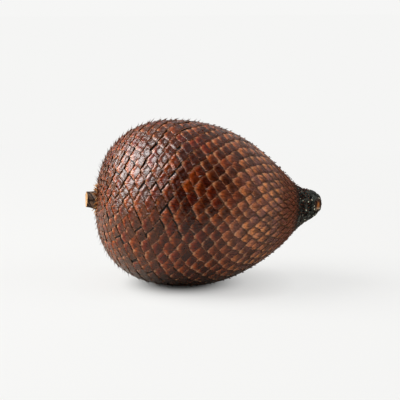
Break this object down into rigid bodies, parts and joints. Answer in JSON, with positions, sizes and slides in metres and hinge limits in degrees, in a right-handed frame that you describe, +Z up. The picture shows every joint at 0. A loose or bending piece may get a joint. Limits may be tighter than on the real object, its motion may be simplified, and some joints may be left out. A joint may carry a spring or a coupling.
{
  "type": "snake fruit",
  "caption": "Whole snake fruit (salak) lying on its side: an egg-shaped fruit in overlapping glossy brown scales, with a dark pointed beak and a cut stub of stalk.",
  "frame": {"origin": "on the surface that the fruit lies on, below the middle of its bounding box", "axes": "+Z up from the surface; +X along the fruit's length, from the cut stalk to the beak; the fruit lies with its beak about 5 degrees down"},
  "size_m": [0.0708, 0.0502, 0.0494],
  "materials": {
    "scaly_skin": "satin",
    "dry_stalk": "matte"
  },
  "bodies": {
    "root": {"fruit": "scaly_skin", "stem_stub": "dry_stalk"}
  },
  "joints": []
}
